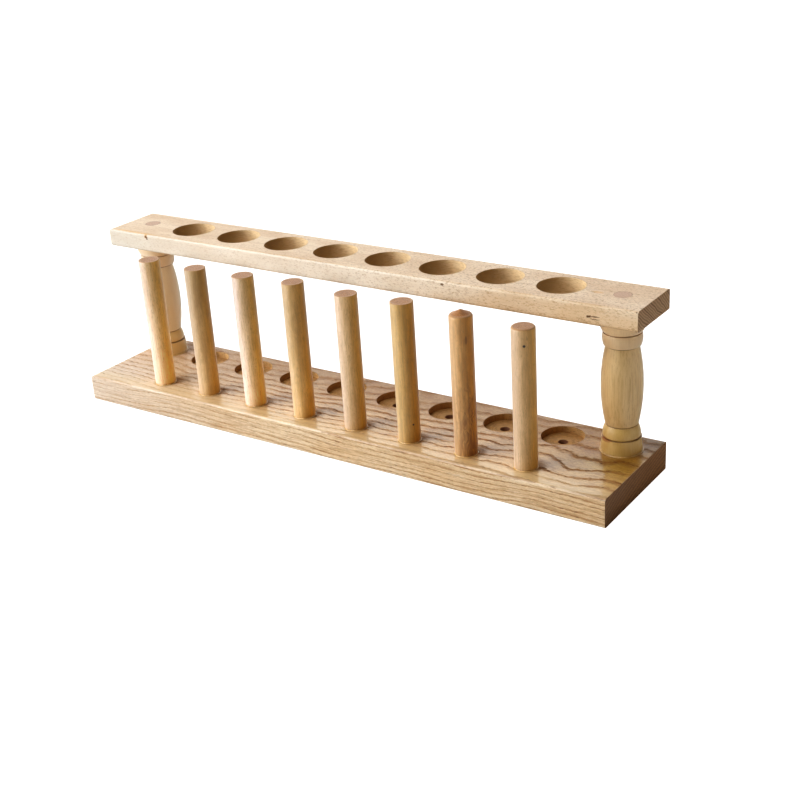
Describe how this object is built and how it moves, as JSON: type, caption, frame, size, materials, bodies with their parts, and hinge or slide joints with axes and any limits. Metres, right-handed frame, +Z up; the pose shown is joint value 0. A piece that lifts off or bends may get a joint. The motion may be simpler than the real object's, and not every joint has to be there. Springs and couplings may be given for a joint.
{
  "type": "test tube rack",
  "caption": "Wooden rack that holds test tubes upright through a drilled rail over a base with shallow seats, with a front row of upright pegs for drying them.",
  "frame": {"origin": "centre of the base board's underside, on the surface that the rack stands on", "axes": "+X along the rack's length, +Y from the drying pegs towards the tube row, +Z up"},
  "size_m": [0.2918, 0.06, 0.083],
  "materials": {
    "base_wood": "clear gloss varnish over open grain",
    "rail_wood": "smooth sanded, thin satin varnish",
    "post_wood": "turned, satin varnish",
    "peg_wood": "dowel, satin varnish"
  },
  "bodies": {
    "root": {"base_board": "base_wood", "top_rail": "rail_wood", "left_post": "post_wood", "right_post": "post_wood", "drying_peg_1": "peg_wood", "drying_peg_2": "peg_wood", "drying_peg_3": "peg_wood", "drying_peg_4": "peg_wood", "drying_peg_5": "peg_wood", "drying_peg_6": "peg_wood", "drying_peg_7": "peg_wood", "drying_peg_8": "peg_wood"}
  },
  "joints": []
}
